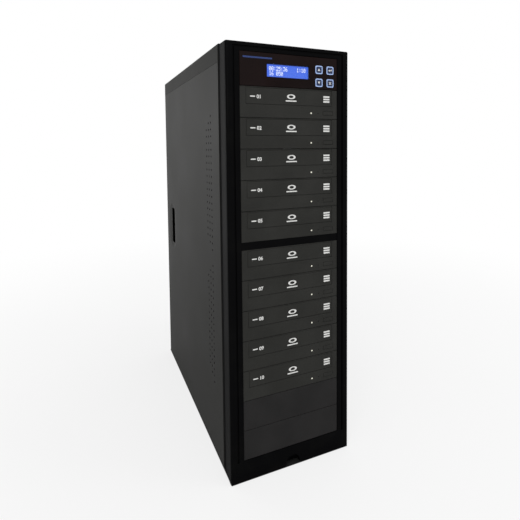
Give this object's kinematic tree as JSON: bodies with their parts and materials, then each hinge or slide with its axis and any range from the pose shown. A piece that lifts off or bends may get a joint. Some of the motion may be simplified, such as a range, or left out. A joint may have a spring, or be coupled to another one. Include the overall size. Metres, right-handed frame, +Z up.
{
  "type": "disc duplicator tower",
  "caption": "Free-standing tower that copies optical discs: steel case with slide-off side panels, moulded front bezel, tray drives, key panel with display, rear fans and supply.",
  "frame": {"origin": "on the floor under the middle of the tower's box", "axes": "+X right across the front, -Y out of the front, +Z up"},
  "size_m": [0.19, 0.45, 0.61],
  "materials": {
    "powder_steel": "fine textured powder coat",
    "plated_steel": "bright zinc plated sheet",
    "rubber": "matt",
    "thumb_black": "black oxide",
    "bezel_gloss": "high gloss",
    "blank_plastic": "fine grained",
    "smoked_panel": "smoked gloss",
    "inner_plastic": "moulded",
    "display": "lit blue display",
    "display_window": "clear",
    "key_cap": "dark blue with a pale ring",
    "circuit_board": "solder mask",
    "drive_plastic": "satin grained",
    "lamp_lens": "milky lens",
    "screw_steel": "zinc plated",
    "fan_plastic": "satin",
    "guard_wire": "bright plated wire",
    "inlet_plastic": "satin",
    "rocker_plastic": "semi gloss",
    "lead_sheath": "satin sheath"
  },
  "bodies": {
    "chassis": {"base_pan": "powder_steel", "front_frame": "plated_steel", "drive_cage_left": "plated_steel", "drive_cage_right": "plated_steel", "top_cover": "powder_steel", "rear_panel": "powder_steel", "rubber_feet": "rubber", "front_bezel": "bezel_gloss", "bay_blanks": "blank_plastic", "control_fascia": "smoked_panel", "control_housing": "inner_plastic", "control_board": "circuit_board", "lcd_module": "display", "lcd_glass": "display_window", "controller_board": "circuit_board", "board_standoffs": "screw_steel", "drive_casings": "plated_steel", "drive_bezels": "drive_plastic", "drive_leds": "lamp_lens", "drive_mechanisms": "inner_plastic", "drive_screws": "screw_steel", "case_screws": "screw_steel", "case_fan_frames": "fan_plastic", "fan_guards": "guard_wire", "power_supply": "plated_steel", "power_inlet": "inlet_plastic", "data_cables": "lead_sheath", "power_cables": "lead_sheath"},
    "side_cover_left": {"side_panel_left": "powder_steel", "thumb_screws_left": "thumb_black"},
    "side_cover_right": {"side_panel_right": "powder_steel", "thumb_screws_right": "thumb_black"},
    "tray_01": {"disc_tray_01": "drive_plastic"},
    "tray_02": {"disc_tray_02": "drive_plastic"},
    "tray_03": {"disc_tray_03": "drive_plastic"},
    "tray_04": {"disc_tray_04": "drive_plastic"},
    "tray_05": {"disc_tray_05": "drive_plastic"},
    "tray_06": {"disc_tray_06": "drive_plastic"},
    "tray_07": {"disc_tray_07": "drive_plastic"},
    "tray_08": {"disc_tray_08": "drive_plastic"},
    "tray_09": {"disc_tray_09": "drive_plastic"},
    "tray_10": {"disc_tray_10": "drive_plastic"},
    "eject_01": {"eject_button_01": "drive_plastic"},
    "eject_02": {"eject_button_02": "drive_plastic"},
    "eject_03": {"eject_button_03": "drive_plastic"},
    "eject_04": {"eject_button_04": "drive_plastic"},
    "eject_05": {"eject_button_05": "drive_plastic"},
    "eject_06": {"eject_button_06": "drive_plastic"},
    "eject_07": {"eject_button_07": "drive_plastic"},
    "eject_08": {"eject_button_08": "drive_plastic"},
    "eject_09": {"eject_button_09": "drive_plastic"},
    "eject_10": {"eject_button_10": "drive_plastic"},
    "key_up": {"button_up": "key_cap"},
    "key_down": {"button_down": "key_cap"},
    "key_enter": {"button_enter": "key_cap"},
    "key_escape": {"button_escape": "key_cap"},
    "rocker": {"rocker_switch": "rocker_plastic"},
    "rotor_upper": {"fan_rotor_upper": "fan_plastic"},
    "rotor_lower": {"fan_rotor_lower": "fan_plastic"},
    "rotor_supply": {"psu_fan_rotor": "fan_plastic"}
  },
  "joints": [
    {"name": "side_cover_left_slide", "type": "slide", "parent": "chassis", "child": "side_cover_left", "axis": [0, 1, 0], "range_m": [0, 0.018]},
    {"name": "side_cover_right_slide", "type": "slide", "parent": "chassis", "child": "side_cover_right", "axis": [0, 1, 0], "range_m": [0, 0.018]},
    {"name": "tray_01_slide", "type": "slide", "parent": "chassis", "child": "tray_01", "axis": [0, -1, 0], "range_m": [0, 0.135]},
    {"name": "tray_02_slide", "type": "slide", "parent": "chassis", "child": "tray_02", "axis": [0, -1, 0], "range_m": [0, 0.135]},
    {"name": "tray_03_slide", "type": "slide", "parent": "chassis", "child": "tray_03", "axis": [0, -1, 0], "range_m": [0, 0.135]},
    {"name": "tray_04_slide", "type": "slide", "parent": "chassis", "child": "tray_04", "axis": [0, -1, 0], "range_m": [0, 0.135]},
    {"name": "tray_05_slide", "type": "slide", "parent": "chassis", "child": "tray_05", "axis": [0, -1, 0], "range_m": [0, 0.135]},
    {"name": "tray_06_slide", "type": "slide", "parent": "chassis", "child": "tray_06", "axis": [0, -1, 0], "range_m": [0, 0.135]},
    {"name": "tray_07_slide", "type": "slide", "parent": "chassis", "child": "tray_07", "axis": [0, -1, 0], "range_m": [0, 0.135]},
    {"name": "tray_08_slide", "type": "slide", "parent": "chassis", "child": "tray_08", "axis": [0, -1, 0], "range_m": [0, 0.135]},
    {"name": "tray_09_slide", "type": "slide", "parent": "chassis", "child": "tray_09", "axis": [0, -1, 0], "range_m": [0, 0.135]},
    {"name": "tray_10_slide", "type": "slide", "parent": "chassis", "child": "tray_10", "axis": [0, -1, 0], "range_m": [0, 0.135]},
    {"name": "eject_01_press", "type": "slide", "parent": "chassis", "child": "eject_01", "axis": [0, 1, 0], "range_m": [0, 0.0008], "stiffness_N_per_m": 300},
    {"name": "eject_02_press", "type": "slide", "parent": "chassis", "child": "eject_02", "axis": [0, 1, 0], "range_m": [0, 0.0008], "stiffness_N_per_m": 300},
    {"name": "eject_03_press", "type": "slide", "parent": "chassis", "child": "eject_03", "axis": [0, 1, 0], "range_m": [0, 0.0008], "stiffness_N_per_m": 300},
    {"name": "eject_04_press", "type": "slide", "parent": "chassis", "child": "eject_04", "axis": [0, 1, 0], "range_m": [0, 0.0008], "stiffness_N_per_m": 300},
    {"name": "eject_05_press", "type": "slide", "parent": "chassis", "child": "eject_05", "axis": [0, 1, 0], "range_m": [0, 0.0008], "stiffness_N_per_m": 300},
    {"name": "eject_06_press", "type": "slide", "parent": "chassis", "child": "eject_06", "axis": [0, 1, 0], "range_m": [0, 0.0008], "stiffness_N_per_m": 300},
    {"name": "eject_07_press", "type": "slide", "parent": "chassis", "child": "eject_07", "axis": [0, 1, 0], "range_m": [0, 0.0008], "stiffness_N_per_m": 300},
    {"name": "eject_08_press", "type": "slide", "parent": "chassis", "child": "eject_08", "axis": [0, 1, 0], "range_m": [0, 0.0008], "stiffness_N_per_m": 300},
    {"name": "eject_09_press", "type": "slide", "parent": "chassis", "child": "eject_09", "axis": [0, 1, 0], "range_m": [0, 0.0008], "stiffness_N_per_m": 300},
    {"name": "eject_10_press", "type": "slide", "parent": "chassis", "child": "eject_10", "axis": [0, 1, 0], "range_m": [0, 0.0008], "stiffness_N_per_m": 300},
    {"name": "key_up_press", "type": "slide", "parent": "chassis", "child": "key_up", "axis": [0, 1, 0], "range_m": [0, 0.0008], "stiffness_N_per_m": 300},
    {"name": "key_down_press", "type": "slide", "parent": "chassis", "child": "key_down", "axis": [0, 1, 0], "range_m": [0, 0.0008], "stiffness_N_per_m": 300},
    {"name": "key_enter_press", "type": "slide", "parent": "chassis", "child": "key_enter", "axis": [0, 1, 0], "range_m": [0, 0.0008], "stiffness_N_per_m": 300},
    {"name": "key_escape_press", "type": "slide", "parent": "chassis", "child": "key_escape", "axis": [0, 1, 0], "range_m": [0, 0.0008], "stiffness_N_per_m": 300},
    {"name": "rocker_tilt", "type": "hinge", "parent": "chassis", "child": "rocker", "pos_m": [0.048, 0.2147, 0.0604], "axis": [1, 0, 0], "range_deg": [-18, 0]},
    {"name": "rotor_upper_spin", "type": "hinge", "parent": "chassis", "child": "rotor_upper", "pos_m": [0, 0.2, 0.5], "axis": [0, 1, 0], "continuous": true},
    {"name": "rotor_lower_spin", "type": "hinge", "parent": "chassis", "child": "rotor_lower", "pos_m": [0, 0.2, 0.35], "axis": [0, 1, 0], "continuous": true},
    {"name": "rotor_supply_spin", "type": "hinge", "parent": "chassis", "child": "rotor_supply", "pos_m": [-0.03, 0.2, 0.047], "axis": [0, 1, 0], "continuous": true}
  ]
}
